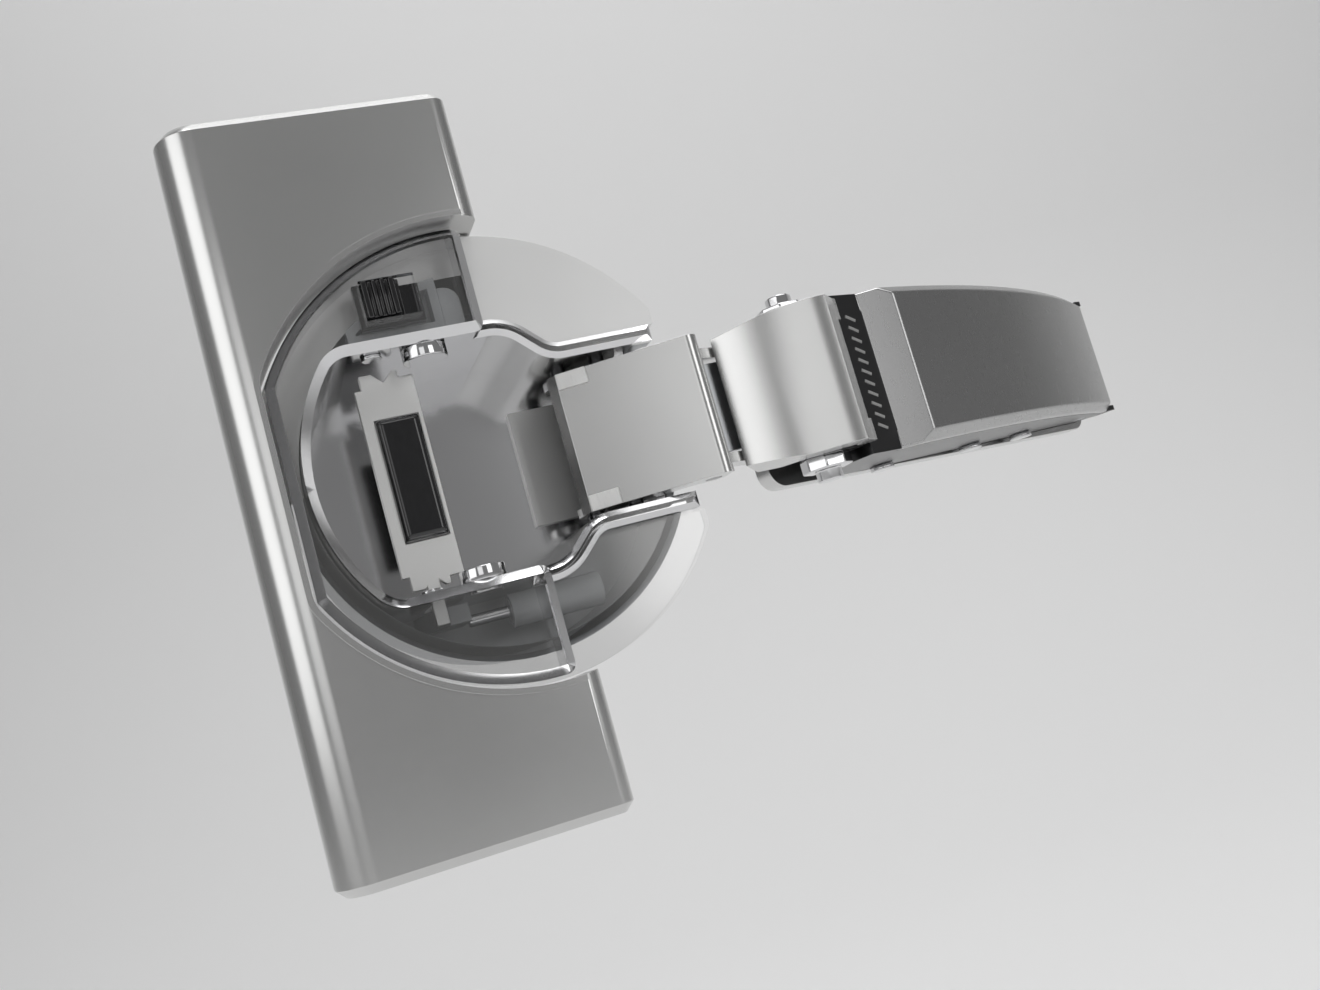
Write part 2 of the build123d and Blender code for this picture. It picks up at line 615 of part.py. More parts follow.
def make_arm():
    """Pressed channel of the arm with cheeks for the nose pin and tabs behind the cap."""
    wall = under_cap(CAP_SKIRT, ARM_BOTTOM)
    wall += side([(ARM_FRONT, ARM_FRONT_H), (ARM_FRONT, ARM_STEP_H), (CAP_FRONT, ARM_STEP_H),
                  (CAP_FRONT, ARM_BOTTOM)])
    seat = CAP_REAR[1] - CAP_SKIRT
    rear = CAP_REAR[0] + TAB_L
    wall += side([(CAP_REAR[0] - TAB_L, ARM_BOTTOM), (CAP_REAR[0] - TAB_L, seat), (CAP_REAR[0] + GAP, seat),
                  (CAP_REAR[0] + GAP, CAP_REAR[1] - TAB_DROP), (rear, CAP_REAR[1] - TAB_DROP),
                  (rear, seat - TAB_L)])
    solid = both_sides(wall, ARM_INNER, ARM_HALF)
    cheek = side([NOSE_PIN, (NOSE_PIN[0], NOSE_PIN[1] + LOOP_R), (CAP_FRONT, NOSE_PIN[1] + LOOP_R),
                  (CAP_FRONT, NOSE_PIN[1] - 2 * LOOP_R), (NOSE_PIN[0] - LOOP_R / 2, NOSE_PIN[1] - LOOP_R)])
    cheek += eye(NOSE_PIN, LOOP_R)
    solid += both_sides(cheek, CHEEK_IN, CHEEK_OUT)
    rear_cut = side([(ROOF_REAR, 0), (ROOF_REAR, DEEP), (ROOF_REAR + DEEP, DEEP), (ROOF_REAR + DEEP, 0)])
    roof = under_cap(CAP_T, ARM_BOTTOM) - under_cap(CAP_T + ARM_WEB, ARM_BOTTOM) - rear_cut
    solid += bar(roof, -CAP_INNER, CAP_INNER)
    under = ARM_STEP_H - ARM_WEB
    shelf = side([(SHELF_FRONT, ARM_STEP_H), (CAP_FRONT, ARM_STEP_H), (CAP_FRONT, under),
                  (SHELF_FRONT, under)])
    solid = (solid + bar(shelf, -ARM_HALF, ARM_HALF)) & arm_plan()
    solid -= round_bar(NOSE_PIN, NOSE_PIN_R, -ARM_HALF, ARM_HALF)
    solid -= round_bar(LEVER_PIVOT, LEVER_PIN_R + RUN_FIT, -ARM_HALF, ARM_HALF)
    for x in ARM_PIN_X:
        solid -= bar(eye((x, ARM_PIN_H), ARM_PIN_R), -ARM_HALF, ARM_HALF)
    holes = Pos(SIDE_SCREW_X, 0) * Circle(SIDE_SCREW_R + RUN_FIT)
    travel = DEPTH_MIN + DEPTH_MAX
    holes += Pos(CAM_X + (DEPTH_MIN - DEPTH_MAX) / 2, 0) * SlotOverall(2 * ACCESS_R + travel, 2 * ACCESS_R)
    return solid - extrude(Plane.XZ * holes, amount=DEEP)


def turned(x, pieces):
    """Stack of cylinders along the panel's normal; each piece is low level, high level and radius."""
    solid = None
    for low, high, radius in pieces:
        step = extrude(Plane.XZ.offset(low) * (Pos(x, 0) * Circle(radius)), amount=high - low)
        solid = step if solid is None else solid + step
    return solid


def cross_recess(x, top, length):
    """Cross-shaped tool for a screwdriver recess below a level."""
    face = Pos(x, 0) * (Rectangle(length, CAM_SLOT_W) + Rectangle(CAM_SLOT_W, length))
    return extrude(Plane.XZ.offset(top - CAM_SLOT_D) * face, amount=CAM_SLOT_D)


def make_side_screw():
    """Side adjusting screw held in the arm, with its neck in the slot of the nose's tail."""
    top = CAP_TOP_H - CAP_T - 2 * GAP
    neck_top = TAIL_H + TAIL_T + NECK_PLAY
    neck_low = TAIL_H - NECK_PLAY
    solid = turned(SIDE_SCREW_X, [(neck_low - SIDE_FOOT_T, neck_low, SIDE_SCREW_R - 2 * GAP),
                                  (neck_low, neck_top, SIDE_NECK_R), (neck_top, top, SIDE_SCREW_R)])
    return solid - cross_recess(SIDE_SCREW_X, top, SIDE_SLOT_L)


def make_depth_cam():
    """Depth adjusting cam on the clip bracket with a cross recess and a spiral rim."""
    base = RAIL_TOP + BRACKET_T
    top = base + CAM_H
    solid = turned(CAM_X, [(RAIL_TOP, base, CAM_STUB_R), (base, top, CAM_R)])
    solid -= cross_recess(CAM_X, top, CAM_SLOT_L)
    rim = Pos(CAM_X, 0) * Circle(CAM_R) - Pos(CAM_X + CAM_SLOT_W / 2, 0) * Circle(CAM_R)
    return solid - extrude(Plane.XZ.offset(base + CAM_H / 2) * rim, amount=CAM_H)


def make_bracket():
    """Clip bracket that straddles the rails of the mounting plate."""
    top = RAIL_TOP + BRACKET_T
    flange = side([(BRACKET_FRONT, BRACKET_LOW), (BRACKET_FRONT, top), (BRACKET_REAR, top),
                   (BRACKET_REAR, BRACKET_LOW)])
    roof = side([(BRACKET_FRONT, RAIL_TOP), (BRACKET_FRONT, top), (BRACKET_REAR, top),
                 (BRACKET_REAR, RAIL_TOP)])
    solid = both_sides(flange, BRACKET_INNER, BRACKET_HALF) + bar(roof, -BRACKET_HALF, BRACKET_HALF)
    width = 2 * (ARM_PIN_R + RUN_FIT)
    for x in ARM_PIN_X[1:]:
        middle = x + (DEPTH_MAX - DEPTH_MIN) / 2
        slot = Pos(middle, -ARM_PIN_H) * Rectangle(DEPTH_MIN + DEPTH_MAX + width, width)
        solid -= bar(slot, -BRACKET_HALF, BRACKET_HALF)
    hole = Pos(CAM_X, 0) * Circle(CAM_STUB_R + RUN_FIT)
    return solid - extrude(Plane.XZ * hole, amount=DEEP)


def make_plate():
    """In-line mounting plate with two rails and two screw holes."""
    length = PLATE_REAR - PLATE_FRONT
    base = Pos((PLATE_REAR + PLATE_FRONT) / 2, 0) * RectangleRounded(length, 2 * PLATE_HALF, PLATE_CORNER_R)
    solid = extrude(Plane.XZ * base, amount=PLATE_T)
    rail = side([(RAIL_FRONT, 0), (RAIL_FRONT, RAIL_TOP), (BRACKET_REAR, RAIL_TOP), (BRACKET_REAR, 0)])
    solid += both_sides(rail, RAIL_IN, RAIL_OUT)
    for x in (-SCREW_SPACING / 2, SCREW_SPACING / 2):
        solid -= turned(SCREW_SETBACK + x, [(0, PLATE_T, SCREW_HOLE_R)])
        solid -= turned(SCREW_SETBACK + x, [(PLATE_T, RAIL_TOP, SCREW_SINK_R)])
    return solid


def make_lever():
    """Release lever on two stub axles in the arm's walls."""
    x, n = LEVER_PIVOT
    arms = side([(x, n - LEVER_EYE_R), (x, n + LEVER_EYE_R / 3), (LEVER_BACK, n + LEVER_EYE_R / 3),
                 (LEVER_BACK, LEVER_LOW + GAP)])
    arms += eye(LEVER_PIVOT, LEVER_EYE_R)
    solid = both_sides(arms, LEVER_HALF - LEVER_ARM, LEVER_HALF)
    front = LEVER_BACK - LEVER_T
    thumb = side([(front, LEVER_LOW), (front, LEVER_TOP), (LEVER_BACK, LEVER_TOP), (LEVER_BACK, LEVER_LOW)])
    solid += bar(thumb, -LEVER_HALF, LEVER_HALF)
    axle = Pos(x, -n) * Circle(LEVER_PIN_R)
    return solid + both_sides(axle, LEVER_HALF, arm_half(x + LEVER_PIN_R))


def make_arm_pins():
    """Headed stubs in the arm's walls that run in the slots of the clip bracket."""
    pairs = []
    for x in ARM_PIN_X:
        wall = arm_half(x - ARM_PIN_HEAD_R)
        stub = eye((x, ARM_PIN_H), ARM_PIN_R)
        head = Pos(x, -ARM_PIN_H) * RegularPolygon(ARM_PIN_HEAD_R, HEAD_SIDES)
        pairs.append(both_sides(stub, ARM_PIN_REACH, wall) + both_sides(head, wall, wall + ARM_PIN_HEAD_T))
    return pairs[0] + pairs[1:]


def make_nose_pin():
    """Pin through the arm's cheeks and the nose's walls, with faceted heads and tips."""
    solid = round_bar(NOSE_PIN, NOSE_PIN_R, -CHEEK_OUT, CHEEK_OUT)
    place = Pos(NOSE_PIN[0], -NOSE_PIN[1])
    shoulder = CHEEK_OUT + NOSE_PIN_HEAD_T
    solid += both_sides(place * RegularPolygon(NOSE_PIN_HEAD_R, HEAD_SIDES), CHEEK_OUT, shoulder)
    tip = place * RegularPolygon(NOSE_PIN_TIP_R, HEAD_SIDES)
    return solid + both_sides(tip, shoulder, shoulder + NOSE_PIN_TIP_T)


def make_actuator():
    """Plate across the tub with notched ends and a lug through the tub's wall."""
    face = plan_box(-ACT_LEFT, -ACT_RIGHT, -ACT_HALF, ACT_HALF)
    middle = -(ACT_LEFT + ACT_RIGHT) / 2
    for z in (-ACT_HALF, ACT_HALF):
        face -= Pos(middle, z) * (Rot(0, 0, 45) * Rectangle(ACT_NOTCH, ACT_NOTCH))
        face -= Pos(-ACT_RIGHT, z) * Rectangle(2 * ACT_NOTCH, ACT_NOTCH)
        face -= Pos(-ACT_LEFT, z) * Rectangle(ACT_NOTCH, 2 * ACT_NOTCH)
    face -= plan_box(-ACTUATOR_PAD_LEFT, -ACTUATOR_PAD_RIGHT, -ACTUATOR_PAD_HALF, ACTUATOR_PAD_HALF)
    solid = slab(face, ACT_TOP - ACT_T, ACT_TOP)
    lug = plan_box(-LUG_LEFT, -LUG_RIGHT, -TUB_HALF - LUG_REACH, -ACT_HALF + ACT_NOTCH)
    return solid + slab(lug, ACT_TOP - ACT_T, ACT_TOP)


def make_actuator_pad():
    """Pad with broken top edges set in the actuator's window."""
    top = ACT_TOP + ACTUATOR_PAD_RISE
    face = plan_box(-ACTUATOR_PAD_LEFT, -ACTUATOR_PAD_RIGHT, -ACTUATOR_PAD_HALF, ACTUATOR_PAD_HALF)
    solid = slab(face, ACT_TOP - ACT_T, top)
    return chamfer(top_edges(solid, top), ACTUATOR_PAD_EDGE)


def make_wedge():
    """Wedge carriage that the lug pushes along the damper's axis."""
    low = ACT_TOP - ACT_T - GAP / 2
    bottom = low - ACT_TRAVEL
    top_v = -LUG_RIGHT + GAP / 2
    foot_v = top_v - STROKE
    face = side([(top_v, low), (-WEDGE_BACK, low), (-WEDGE_BACK, bottom - SHEET), (foot_v, bottom - SHEET),
                 (foot_v, bottom)])
    return bar(face, -WEDGE_FAR, -WEDGE_NEAR)


def along(v_low, v_high, radius):
    """Cylinder on the damper's axis."""
    return Pos(v_low, -DAMPER_W, -DAMPER_Z) * (Rot(0, 90, 0) * Cylinder(
        radius, v_high - v_low, align=(Align.CENTER, Align.CENTER, Align.MIN)))


def make_damper_cylinder():
    """Clear damper cylinder with one closed end."""
    solid = along(DAMPER_START, DAMPER_END, DAMPER_R)
    return solid - along(DAMPER_START, DAMPER_END - SHEET, DAMPER_BORE_R)


def make_damper_cap():
    """Seal cap in the open end of the damper cylinder."""
    ring = along(DAMPER_START, DAMPER_START + DAMPER_CAP_T, DAMPER_BORE_R)
    return ring - along(DAMPER_START, DAMPER_START + DAMPER_CAP_T, ROD_R + RUN_FIT)


def make_damper_rod():
    """Damper rod with its piston."""
    end = DAMPER_END - SHEET - STROKE - GAP
    return along(-WEDGE_BACK, end, ROD_R) + along(end - PISTON_T, end, PISTON_R)


def make_switch_slider():
    """Ribbed slider in the flange's window with a foot below the sheet."""
    v_low, v_high, z_low, z_high = WINDOW
    top = PLATFORM_H + KNOB_RISE
    low = PLATFORM_H - SHEET - GAP
    knob = plan_box(v_low + GAP, v_low + GAP + KNOB_L, z_low + GAP, z_high - GAP)
    solid = slab(knob, low, top)
    pitch = KNOB_L / KNOB_RIBS
    for i in range(KNOB_RIBS - 1):
        v = v_low + GAP + pitch * (i + 1)
        groove = plan_box(v - pitch / 4, v + pitch / 4, z_low, z_high)
        solid -= slab(groove, top - KNOB_RIB_D, top)
    foot = plan_box(v_low - FOOT_MARGIN, v_low + GAP + KNOB_L + FOOT_MARGIN, z_low - FOOT_MARGIN, z_high)
    return solid + slab(foot, low - FOOT_T, low)


def make_switch_housing():
    """Clear housing of the switch below its slider."""
    v_low, v_high, z_low, z_high = HOUSING
    top = PLATFORM_H - SHEET - 2 * GAP - FOOT_T
    reach = POT_INNER_R - GAP
    outer = plan_box(v_low, v_high, z_low, z_high) & Circle(reach)
    inner = plan_box(v_low + SHEET, v_high - SHEET, z_low + SHEET, z_high) & Circle(reach - SHEET)
    return slab(outer, top - HOUSING_T, top) - slab(inner, top - HOUSING_T + SHEET, top)


def headed(centre, radius, head_face, head, reach):
    """Pair of headed studs in the tub's walls."""
    shank = both_sides(eye(centre, radius), TUB_HALF, TUB_OUTER + reach)
    cap = Pos(centre[0], -centre[1]) * head_face
    return shank + both_sides(cap, TUB_HALF - head, TUB_HALF)


def make_leaf():
    """Closing leaf spring on the tub's floor, turned up at the channel's end."""
    low = TUB_FLOOR_W
    end = TUB_R - 3 * GAP
    face = side([(LEAF_LEFT, low), (LEAF_LEFT, low + LEAF_T), (end - 2 * LEAF_T, low + LEAF_T),
                 (end - LEAF_T, low + LEAF_RISE), (end, low + LEAF_RISE), (end - LEAF_T / 2, low)])
    return bar(face, -LEAF_HALF, LEAF_HALF) & slab(tub_outline(0), low, 0)


cup_nodes = {
    "cover_plate": make_cover(),
    "cup_flange": make_flange(),
    "cup_pot": make_pot(),
    "outer_cup_pins": both_sides(Pos(OUTER_CUP_PIVOT[0], -OUTER_CUP_PIVOT[1]) * Circle(PIN_R),
                                 STUB_INNER, CHANNEL_HALF + SHEET),
    "inner_cup_pin": round_bar(INNER_CUP_PIVOT, PIN_R, -CHANNEL_HALF - SHEET, CHANNEL_HALF + SHEET),
    "closing_spring": make_leaf(),
    "guide_bushes": headed((BUSH_V, BUSH_W), BUSH_R, Circle(BUSH_HEAD_R), BUSH_HEAD_T, BUSH_REACH),
    "tub_rivets": headed((RIVET_V, RIVET_W), RIVET_R, RegularPolygon(RIVET_HEAD_R, HEAD_SIDES),
                         RIVET_HEAD_T, 0),
    "switch_housing": make_switch_housing(),
    "switch_slider": make_switch_slider(),
    "damper_cylinder": make_damper_cylinder(),
    "damper_cap": make_damper_cap(),
    "damper_rod": make_damper_rod(),
    "damper_carriage": make_wedge(),
    "actuator_plate": make_actuator(),
    "actuator_pad": make_actuator_pad(),
    "outer_link": make_outer_link(),
    "link_pads": make_link_pads(),
    "inner_link": make_inner_link(),
}

arm_nodes = {
    "arm": make_arm(),
    "arm_cap": make_cap(),
    "arm_nose": make_nose(),
    "nose_pin": make_nose_pin(),
    "outer_nose_pin": round_bar(swap(OUTER_NOSE_PIVOT), PIN_R, -LINK_HALF, LINK_HALF),
    "inner_nose_pin": round_bar(swap(INNER_NOSE_PIVOT), PIN_R, -NOSE_WALL_OUT, NOSE_WALL_OUT),
    "arm_pins": make_arm_pins(),
    "side_screw": make_side_screw(),
    "depth_cam": make_depth_cam(),
    "clip_bracket": make_bracket(),
    "release_lever": make_lever(),
    "mounting_plate": make_plate(),
}

for nodes, place in ((cup_nodes, CUP_PLACE), (arm_nodes, ARM_PLACE)):
    for name, solid in nodes.items():
        export_step(place * solid, "parts/" + name + ".step")
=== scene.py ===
import json
from math import cos, pi, radians, sin

import bmesh
import bpy
from mathutils import Matrix, Vector


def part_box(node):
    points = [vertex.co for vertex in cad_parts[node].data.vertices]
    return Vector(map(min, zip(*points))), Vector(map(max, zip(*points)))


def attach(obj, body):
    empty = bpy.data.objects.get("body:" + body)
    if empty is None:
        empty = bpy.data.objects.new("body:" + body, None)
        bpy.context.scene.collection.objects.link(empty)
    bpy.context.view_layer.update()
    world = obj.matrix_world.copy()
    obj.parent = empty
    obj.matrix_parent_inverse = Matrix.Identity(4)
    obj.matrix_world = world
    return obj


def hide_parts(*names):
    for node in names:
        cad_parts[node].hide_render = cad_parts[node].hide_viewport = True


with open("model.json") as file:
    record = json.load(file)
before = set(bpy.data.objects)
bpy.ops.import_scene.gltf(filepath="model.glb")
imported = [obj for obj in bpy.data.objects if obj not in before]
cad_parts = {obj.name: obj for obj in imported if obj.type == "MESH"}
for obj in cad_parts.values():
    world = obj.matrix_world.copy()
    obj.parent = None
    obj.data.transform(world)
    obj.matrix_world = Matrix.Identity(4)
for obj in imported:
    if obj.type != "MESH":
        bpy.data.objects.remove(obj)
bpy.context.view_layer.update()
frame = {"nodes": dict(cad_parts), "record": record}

bl_info = {
    "name": "Soft-close cabinet hinge",
    "version": (1, 0, 0),
    "blender": (4, 5, 0),
    "location": "View3D > Sidebar > Hinge",
    "description": "Dresses the packed hinge with pressed, plated and moulded finishes",
    "category": "Object",
}

BODY_OF = {node: body
           for body, nodes in frame["record"]["behaviour"]["bodies"].items()
           for node in nodes}
CAP_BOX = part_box("arm_cap")
# Height of the arm's step above the hinge axis, and the flange's thickness.
SHELF_H = 0.0132
FLANGE_T = 0.0015
# The cup's own frame: outwards, along the cup, and its origin on the hinge's middle plane.
SEAT = next(row for row in frame["record"]["mounts"] if row["name"] == "flange_seat")
SEAT_AT = Vector(SEAT["pos_m"])
CUP_OUT = -Vector(SEAT["axis"])
CUP_ALONG = Vector((0, 0, 1)).cross(CUP_OUT)
SEAT_ALONG = 0.008
CUP_ORIGIN = SEAT_AT.xy.to_3d() - CUP_ALONG * SEAT_ALONG + CUP_OUT * FLANGE_T
MM = 1000

# Noise of the finishes: scales per metre, and shares by which tone and roughness vary.
DRIFT_SCALE = 60
MARKS_SCALE = 3200
CLOUD_SCALE = 220
FLOW_SCALE = 2200
PAPER_SCALE = 4
PLATE_TONE = (0.97, 1.03)
PLATE_POLISH = (0.98, 1.02)
MOULD_TONE = (0.9, 1.08)
MOULD_SATIN = (0.8, 1.2)
PAPER_TONE = (0.995, 1.005)
NOISE_RANGE = (0.3, 0.7)
PLATE_RELIEF = 0.00004
MOULD_RELIEF = 0.0001
ALONG_Z = (1, 1, 0.3)

# A face counts as flat or as a wall by how far its normal follows the cup's direction.
SHEET_LIE = 0.95
DISC_LIE = 0.9
WALL_LIE = 0.5
SHEET_RISE = 0.0002
POT_DROP = 0.0001

# Rounding of edges, in metres, where it differs from the general edge width.
SHEET_EDGE = 0.00025
FLANGE_EDGE = 0.00015
LINK_EDGE = 0.00045
CAP_EDGE = 0.0002
HEAD_EDGE = 0.00015
PIN_EDGE = 0.0001
LINK_PAD_EDGE = 0.00006
ACTUATOR_PAD_EDGE = 0.0006
SLIDER_EDGE = 0.00013
SLAB_EDGE = 0.00004
MERGE = 1e-6

# Switch trim, in millimetres in the cup's frame: along the cup, up, and the two heights. The black
# sheet is painted shade that fills the switch's window.
SHADE_SHEET_OUTLINE = [(-5.2, 12.6), (-3.3, 12.6), (-3.3, 16.0), (-5.2, 16.0)]
SHADE_SHEET_HEIGHTS = (1.7, 2.6)
END_LEFT, END_RIGHT, END_LOW, END_HIGH = -1.6, 0.2, 11.8, 15.5
END_CORNER_R = 1.4
END_CORNER = (-1.2, 14.1)
END_HEIGHTS = (0.3, 1.5)

# Tick marks stand this far in front of the cap.
TICK_LEAD = 0.0017

# Stage: camera, floor and lamps, in metres.
CAMERA_AT = (-0.125573, -0.097970, -0.020513)
CAMERA_RIGHT = Vector((0.77117, -0.57589, -0.27138))
CAMERA_UP = Vector((0.14522, -0.25592, 0.95573))
CAMERA_AHEAD = Vector((0.61985, 0.77644, 0.11373))
FLOOR_AHEAD = Vector((0.6239, 0.7815, 0.0))
FLOOR_CENTRE = Vector((-0.035, -0.01, 0.0))
FLOOR_NEAR = -1.2
FLOOR_HALF_W = 1.8
WALL_AT = 0.55
WALL_H = 1.6
BEND_R = 0.25
BEND_STEPS = 16
STAGE_MIDDLE = (-0.035, -0.008, 0.0)
WASH_TARGET = (0.30, 0.40, 0.05)
LAMPS = (
    ("key", (-0.36, -0.38, 0.08), STAGE_MIDDLE, 0.20),
    ("fill", (0.01, -0.50, 0.09), STAGE_MIDDLE, 0.20),
    ("top", (-0.05, -0.20, 0.45), STAGE_MIDDLE, 0.40),
    ("rim", (-0.42, -0.06, 0.10), STAGE_MIDDLE, 0.26),
    ("wash", (0.10, 0.06, 0.95), WASH_TARGET, 0.60),
)


class HingeFinish(bpy.types.PropertyGroup):
    """Colours and edge sizes of the hinge's own pieces."""

    satin_nickel: bpy.props.FloatVectorProperty(
        name="Satin nickel", description="Plate on the cover, links and nose", subtype="COLOR",
        size=3, min=0, max=1, default=(0.66, 0.66, 0.655))
    frosted_nickel: bpy.props.FloatVectorProperty(
        name="Frosted nickel", description="Pale matt plate on the disc and closing leaf",
        subtype="COLOR", size=3, min=0, max=1, default=(0.78, 0.78, 0.775))
    cap_nickel: bpy.props.FloatVectorProperty(
        name="Cap nickel", description="Deeper satin plate on the arm's cap", subtype="COLOR",
        size=3, min=0, max=1, default=(0.46, 0.46, 0.46))
    # Near-black nickel on the arm's channel is painted shade for its side walls in shadow.
    smoked_nickel: bpy.props.FloatVectorProperty(
        name="Painted shade nickel", description="Darker plate on the arm's channel", subtype="COLOR",
        size=3, min=0, max=1, default=(0.09, 0.09, 0.092))
    bright_chrome: bpy.props.FloatVectorProperty(
        name="Bright chrome", description="Polished pins, bushes and rims", subtype="COLOR",
        size=3, min=0, max=1, default=(0.72, 0.72, 0.73))
    grey_zinc: bpy.props.FloatVectorProperty(
        name="Grey zinc", description="Zinc plate on the hidden mechanism", subtype="COLOR",
        size=3, min=0, max=1, default=(0.42, 0.43, 0.44))
    oiled_steel: bpy.props.FloatVectorProperty(
        name="Oiled steel", description="Dark pivot pins", subtype="COLOR",
        size=3, min=0, max=1, default=(0.10, 0.10, 0.105))
    # Pale steel is the actuator plate's own colour, and on the tick marks a painted highlight.
    pale_steel: bpy.props.FloatVectorProperty(
        name="Pale steel", description="Actuator plate and tick marks", subtype="COLOR",
        size=3, min=0, max=1, default=(0.80, 0.80, 0.79))
    white_moulding: bpy.props.FloatVectorProperty(
        name="White moulding", description="Pads on the outer link", subtype="COLOR",
        size=3, min=0, max=1, default=(0.85, 0.85, 0.84))
    black_moulding: bpy.props.FloatVectorProperty(
        name="Black moulding", description="Actuator pad and switch", subtype="COLOR",
        size=3, min=0, max=1, default=(0.008, 0.008, 0.009))
    grey_moulding: bpy.props.FloatVectorProperty(
        name="Grey moulding", description="Damper carriage and cap", subtype="COLOR",
        size=3, min=0, max=1, default=(0.33, 0.34, 0.35))
    clear_moulding: bpy.props.FloatVectorProperty(
        name="Clear moulding", description="Damper cylinder and switch housing", subtype="COLOR",
        size=3, min=0, max=1, default=(0.72, 0.74, 0.76))
    flange_alpha: bpy.props.FloatProperty(
        name="Flange opacity", description="How solid the see-through sheets look",
        subtype="FACTOR", min=0, max=1, default=0.16)
    edge_width: bpy.props.FloatProperty(
        name="Edge width", description="Rounding of pressed edges",
        unit="LENGTH", min=0, default=0.00012)
    smooth_angle: bpy.props.FloatProperty(
        name="Smooth angle", description="Edges flatter than this are shaded smooth",
        subtype="ANGLE", min=0, max=pi, default=radians(32))


class HingeTicks(bpy.types.PropertyGroup):
    """Row of plain tick marks on the arm's step."""

    count: bpy.props.IntProperty(
        name="Count", description="Number of tick marks", min=2, default=11)
    pitch: bpy.props.FloatProperty(
        name="Pitch", description="Distance between tick marks",
        unit="LENGTH", min=0, default=0.0011)
    length: bpy.props.FloatProperty(
        name="Length", description="Length of one tick mark", unit="LENGTH", min=0, default=0.0013)
    width: bpy.props.FloatProperty(
        name="Width", description="Width of one tick mark", unit="LENGTH", min=0, default=0.00028)
    rise: bpy.props.FloatProperty(
        name="Rise", description="Height above the sheet", unit="LENGTH", min=0, default=0.00008)
    slant: bpy.props.FloatProperty(
        name="Slant", description="Turn of each tick mark", subtype="ANGLE", default=radians(24))


class HingeStage(bpy.types.PropertyGroup):
    """Floor, light and camera."""

    paper: bpy.props.FloatVectorProperty(
        name="Paper", description="Colour of the floor and backdrop", subtype="COLOR",
        size=3, min=0, max=1, default=(0.88, 0.88, 0.88))
    floor_drop: bpy.props.FloatProperty(
        name="Floor drop", description="Floor level below the hinge axis' middle",
        unit="LENGTH", default=0.11)
    key_power: bpy.props.FloatProperty(
        name="Key power", description="Power of the lamp on the nose and step",
        unit="POWER", min=0, default=0.105)
    fill_power: bpy.props.FloatProperty(
        name="Fill power", description="Power of the lamp on the links",
        unit="POWER", min=0, default=0.22)
    top_power: bpy.props.FloatProperty(
        name="Top power", description="Power of the large soft lamp above",
        unit="POWER", min=0, default=0.9)
    rim_power: bpy.props.FloatProperty(
        name="Rim power", description="Power of the lamp behind the cover",
        unit="POWER", min=0, default=0.27)
    wash_power: bpy.props.FloatProperty(
        name="Wash power", description="Power of the lamp on the backdrop",
        unit="POWER", min=0, default=3.6)
    room_light: bpy.props.FloatProperty(
        name="Room light", description="Strength of the even room light", min=0, default=0.21)
    lens: bpy.props.FloatProperty(
        name="Lens", description="Focal length for a 36 mm wide sensor",
        unit="CAMERA", min=1, default=35.98)


def new_material(name):
    """Empty node material with its Principled shader, output links kept."""
    material = bpy.data.materials.new(name)
    material.use_nodes = True
    return material, material.node_tree, material.node_tree.nodes["Principled BSDF"]


def noise(tree, scale, stretch, detail):
    """Noise on Object coordinates, stretched along one axis."""
    nodes, links = tree.nodes, tree.links
    where = nodes.new("ShaderNodeTexCoord")
    mapping = nodes.new("ShaderNodeMapping")
    mapping.inputs["Scale"].default_value = stretch
    texture = nodes.new("ShaderNodeTexNoise")
    texture.inputs["Scale"].default_value = scale
    texture.inputs["Detail"].default_value = detail
    links.new(where.outputs["Object"], mapping.inputs["Vector"])
    links.new(mapping.outputs["Vector"], texture.inputs["Vector"])
    return texture


def ramp(tree, source, low, high):
    """Colour ramp between two colours of a noise factor."""
    node = tree.nodes.new("ShaderNodeValToRGB")
    node.color_ramp.elements[0].position = NOISE_RANGE[0]
    node.color_ramp.elements[1].position = NOISE_RANGE[1]
    node.color_ramp.elements[0].color = (*low, 1)
    node.color_ramp.elements[1].color = (*high, 1)
    tree.links.new(source.outputs["Fac"], node.inputs["Fac"])
    return node


def spread(tree, source, low, high):
    """Range of values of a noise factor."""
    node = tree.nodes.new("ShaderNodeMapRange")
    node.inputs["From Min"].default_value = NOISE_RANGE[0]
    node.inputs["From Max"].default_value = NOISE_RANGE[1]
    node.inputs["To Min"].default_value = low
    node.inputs["To Max"].default_value = high
    tree.links.new(source.outputs["Fac"], node.inputs["Value"])
    return node


def shade(colour, factor):
    """Colour made darker or lighter, kept in range."""
    return tuple(min(1.0, c * factor) for c in colour)


def plated(name, colour, rough, grain=(1, 1, 1), bump=0.001, alpha=1.0):
    """Plated sheet metal: soft tone drift, faint polishing marks and a fine surface grain."""
    material, tree, shader = new_material(name)
    drift = noise(tree, DRIFT_SCALE, (1, 1, 1), 2)
    marks = noise(tree, MARKS_SCALE, grain, 3)
    tone = ramp(tree, drift, *(shade(colour, factor) for factor in PLATE_TONE))
    tree.links.new(tone.outputs["Color"], shader.inputs["Base Color"])
    polish = spread(tree, marks, *(rough * factor for factor in PLATE_POLISH))
    tree.links.new(polish.outputs["Result"], shader.inputs["Roughness"])
    relief = tree.nodes.new("ShaderNodeBump")
    relief.inputs["Strength"].default_value = bump
    relief.inputs["Distance"].default_value = PLATE_RELIEF
    tree.links.new(marks.outputs["Fac"], relief.inputs["Height"])
    tree.links.new(relief.outputs["Normal"], shader.inputs["Normal"])
    shader.inputs["Metallic"].default_value = 1.0
    shader.inputs["Alpha"].default_value = alpha
    return material


